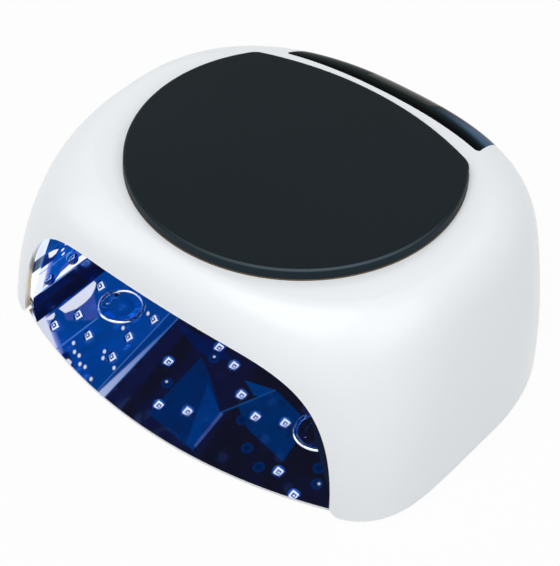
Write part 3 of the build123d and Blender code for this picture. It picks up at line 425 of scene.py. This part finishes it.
rubber = plastic("rubber_feet", (0.02, 0.02, 0.02), 0.75, grain=500.0, depth=0.0001)
frame_front = -0.07
frame_white = Graph("frame_white")
y = frame_white.split(frame_white.place)[1]
nz = frame_white.normal()[2]
upright = frame_white.below(frame_white.math("ABSOLUTE", nz), 0.5, 0.1)
wall = frame_white.both(upright, frame_white.above(y, frame_front))
fine = frame_white.noise(220.0, 4.0, 0.6)
pale = frame_white.ramp(fine, (0.76, 0.77, 0.78), (0.80, 0.81, 0.82))
frame_white.set(base=frame_white.mix(wall, pale, (0.02, 0.03, 0.08)), rough=0.35)
frame_white.bump(fine, 0.25, 0.00004)
screws = metal("screw_steel", (0.50, 0.50, 0.52), 0.28)
board_green = plastic("board_green", (0.02, 0.13, 0.055), 0.35, grain=400.0)
spreader = metal("spreader_aluminium", (0.72, 0.73, 0.75), 0.32, stretch=(1, 12, 1), grain=200.0)
dark_part = plastic("dark_moulding", (0.02, 0.02, 0.022), 0.45)
ferrite = plastic("ferrite", (0.05, 0.05, 0.055), 0.6)
can = metal("capacitor_can", (0.66, 0.66, 0.68), 0.25)
plug = plastic("plug_cream", (0.72, 0.70, 0.62), 0.4)
brass = metal("contact_brass", (0.72, 0.52, 0.22), 0.2)
pin_metal = metal("pin_plated", (0.70, 0.70, 0.72), 0.12)
plunger = plastic("plunger_red", (0.5, 0.06, 0.04), 0.4)
segments = plastic("digit_segments", (0.45, 0.48, 0.50), 0.4)
infrared = plastic("infrared_dome", (0.02, 0.008, 0.02), 0.05, grain=60.0, depth=0.000002)

finishes = {
    "housing_shell": shell, "top_panel": panel, "panel_seal": seal, "control_fascia": fascia,
    "display_lens": smoked, "display_module": dark_part, "display_digits": segments,
    "reflector_chamber": liner, "base_tray": tray, "tray_feet": rubber, "bottom_frame": frame_white,
    "control_board": board_green, "driver_board": board_green, "sensor_boards": board_green,
    "tact_switches": dark_part, "heat_spreader": spreader, "driver_inductor": ferrite,
    "driver_capacitors": can, "driver_chips": dark_part, "board_connectors": plug,
    "inlet_housing": dark_part, "inlet_pin": pin_metal, "inlet_contact": brass, "tray_magnets": pin_metal,
    "infrared_emitter": infrared, "infrared_receiver": infrared,
}
for group in ("ceiling", "left", "right", "rear"):
    finishes[f"{group}_led_board"] = board_painted_glow
    finishes[f"{group}_led_lenses"] = domes[group]
    finishes[f"{group}_led_chips"] = package_white
for group in ("control", "driver", "spreader", "frame"):
    finishes[f"{group}_screws"] = screws
button_count = 4
for i in range(1, button_count + 1):
    finishes[f"timer_button_{i}"] = keys
    finishes[f"switch_plunger_{i}"] = plunger
for node, graph in finishes.items():
    dress(node, graph)

# Emitter packages in place of the plain chips

chip_reach = 0.004
cave_middle = Vector((0, -0.01, 0.02))
cup_height = 0.0014
foot_share, mouth_share, floor_share = 0.96, 0.60, 0.52
die_foot_share, die_top_share = 0.24, 0.20
skirt_level, floor_depth, die_depth = 0.3, 0.7, 0.4
end_faces, ring_faces, rim_band = 2, 4, 2


def chip_places(node):
    """Middle, outward direction, edge direction, half width and half thickness of each chip of a node."""
    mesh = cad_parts[node].data
    groups = []
    for face in mesh.polygons:
        near = [g for g in groups if (g[0].center - face.center).length < chip_reach]
        if near:
            near[0].append(face)
        else:
            groups.append([face])
    for faces in groups:
        corners = [mesh.vertices[i].co for face in faces for i in face.vertices]
        middle = sum(corners, Vector()) / len(corners)
        flat = max(faces, key=lambda f: f.area)
        out = flat.normal.normalized()
        if out.dot(middle - cave_middle) < 0:
            out = -out
        reach = max((c - middle - out * (c - middle).dot(out)).length for c in corners)
        edge = max(corners, key=lambda c: (c - middle).length) - middle
        edge = (edge - out * edge.dot(out)).normalized()
        along = Matrix.Rotation(math.pi / 4, 3, out) @ edge
        thick = max(abs((c - middle).dot(out)) for c in corners)
        yield middle, out, along, reach / math.sqrt(2), thick


def packages(node):
    """Emitter packages, each a dark cup with a white rim and a bright die, in place of a node's chips."""
    cup = bmesh.new()
    for middle, out, along, half, thick in chip_places(node):
        side_way = out.cross(along)

        def corner_ring(reach, level):
            """Four corners of a square at a level from the package's foot."""
            base = middle + out * (thick - level)
            return [cup.verts.new(base + along * reach * a + side_way * reach * b)
                    for a, b in ((-1, -1), (1, -1), (1, 1), (-1, 1))]

        def band(a, b):
            """The faces between two rings."""
            return [[a[i], a[(i + 1) % 4], b[(i + 1) % 4], b[i]] for i in range(4)]

        rings = [corner_ring(half * foot_share, 0.0), corner_ring(half, skirt_level * thick),
                 corner_ring(half, cup_height), corner_ring(half * mouth_share, cup_height),
                 corner_ring(half * floor_share, cup_height - floor_depth * thick)]
        faces = [[*rings[0]], [*reversed(rings[-1])]]
        for a, b in zip(rings, rings[1:]):
            faces += band(a, b)
        for n, corners in enumerate(faces):
            is_rim = (n - end_faces) // ring_faces == rim_band
            cup.faces.new(corners).material_index = 0 if is_rim else 1
        die = [corner_ring(half * die_foot_share, cup_height - floor_depth * thick),
               corner_ring(half * die_top_share, cup_height - die_depth * thick)]
        for corners in [[*reversed(die[1])], die[0]] + band(*die):
            cup.faces.new(corners).material_index = 2
    bmesh.ops.recalc_face_normals(cup, faces=cup.faces)
    mesh = bpy.data.meshes.new(node.replace("chips", "emitters"))
    cup.to_mesh(mesh)
    cup.free()
    made = bpy.data.objects.new(mesh.name, mesh)
    bpy.context.scene.collection.objects.link(made)
    for graph in (package_white, package_pad, package_die):
        mesh.materials.append(graph.material)
    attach(made, "housing")
    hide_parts(node)


for group in ("ceiling", "left", "right", "rear"):
    packages(f"{group}_led_chips")

# Stage, lights and camera


def stage_plane(name, size, level):
    """A plain level sheet of the studio, not part of the object."""
    mesh = bpy.data.meshes.new(name)
    half = size / 2
    corners = [(-half, -half, 0), (half, -half, 0), (half, half, 0), (-half, half, 0)]
    mesh.from_pydata(corners, [], [(0, 1, 2, 3)])
    made = bpy.data.objects.new(name, mesh)
    made.location = (0, 0, level)
    bpy.context.scene.collection.objects.link(made)
    return made


def seen(graph_nodes, graph_links):
    """1 for camera, glossy and transmission rays, 0 for the light that falls on the object."""
    path = graph_nodes.new("ShaderNodeLightPath")
    total = path.outputs["Is Camera Ray"]
    for name in ("Is Glossy Ray", "Is Transmission Ray"):
        made = graph_nodes.new("ShaderNodeMath")
        made.operation = "MAXIMUM"
        graph_links.new(total, made.inputs[0])
        graph_links.new(path.outputs[name], made.inputs[1])
        total = made.outputs[0]
    return total


floor_size, floor_level, floor_white = 6.0, -0.0002, 0.95
sky_strength = 0.48
floor = stage_plane("floor", floor_size, floor_level)
ground = Graph("floor_white")
grain = ground.noise(3.0, 2.0)
ground.set(base=ground.ramp(grain, 0.70, 0.73), rough=0.9, specular=0.0)
glow = ground.node("ShaderNodeEmission")
glow.inputs["Color"].default_value = (1, 1, 1, 1)
share = ground.math("MULTIPLY", seen(ground.nodes, ground.links), floor_white)
blend = ground.node("ShaderNodeMixShader")
ground.links.new(share, blend.inputs[0])
ground.links.new(ground.shader.outputs[0], blend.inputs[1])
ground.links.new(glow.outputs[0], blend.inputs[2])
ground.links.new(blend.outputs[0], ground.output.inputs["Surface"])
floor.data.materials.append(ground.material)

world = bpy.data.worlds.new("studio")
bpy.context.scene.world = world
world.use_nodes = True
tree = world.node_tree
sky = tree.nodes["Background"]
sky.inputs["Color"].default_value = (0.92, 0.96, 1.0, 1.0)
sky.inputs["Strength"].default_value = sky_strength
plain = tree.nodes.new("ShaderNodeBackground")
plain.inputs["Color"].default_value = (1, 1, 1, 1)
plain.inputs["Strength"].default_value = 1.0
both = tree.nodes.new("ShaderNodeMixShader")
tree.links.new(seen(tree.nodes, tree.links), both.inputs[0])
tree.links.new(sky.outputs[0], both.inputs[1])
tree.links.new(plain.outputs[0], both.inputs[2])
tree.links.new(both.outputs[0], tree.nodes["World Output"].inputs["Surface"])


lamp_target = Vector((0, 0, 0.05))


def lamp(name, location, size, power):
    """A soft square lamp that looks at the object."""
    data = bpy.data.lights.new(name, "AREA")
    data.shape = "SQUARE"
    data.size = size
    data.energy = power
    made = bpy.data.objects.new(name, data)
    made.location = location
    made.rotation_euler = (lamp_target - Vector(location)).to_track_quat("-Z", "Y").to_euler()
    bpy.context.scene.collection.objects.link(made)


lamp("key", (0.12, -0.60, 1.40), 1.3, 11.0)
lamp("fill", (1.0, -0.05, 1.0), 0.9, 3.6)
lamp("left", (-1.0, -0.7, 0.45), 0.8, 1.6)

azimuth, elevation = 0.7076, 0.771
distance, across_shift, up_shift, focal_pixels = 0.78479, 0.0073663, -0.0097767, 1796.1
fit_origin = Vector((0, 0.006, 0))
sensor_height, picture_height = 24.0, 566
level_reach = math.cos(elevation)
behind = Vector((math.sin(azimuth) * level_reach, -math.cos(azimuth) * level_reach, math.sin(elevation)))
right = Vector((math.cos(azimuth), math.sin(azimuth), 0))
up = behind.cross(right)
eye = distance * behind - across_shift * right - up_shift * up + fit_origin
camera_data = bpy.data.cameras.new("camera")
camera_data.sensor_fit = "VERTICAL"
camera_data.sensor_height = sensor_height
camera_data.lens = focal_pixels * sensor_height / picture_height
camera_data.clip_start = 0.01
camera = bpy.data.objects.new("camera", camera_data)
camera.matrix_world = Matrix.Translation(eye) @ Matrix((right, up, behind)).transposed().to_4x4()
bpy.context.scene.collection.objects.link(camera)
bpy.context.scene.camera = camera
bpy.context.scene.view_settings.view_transform = "Standard"
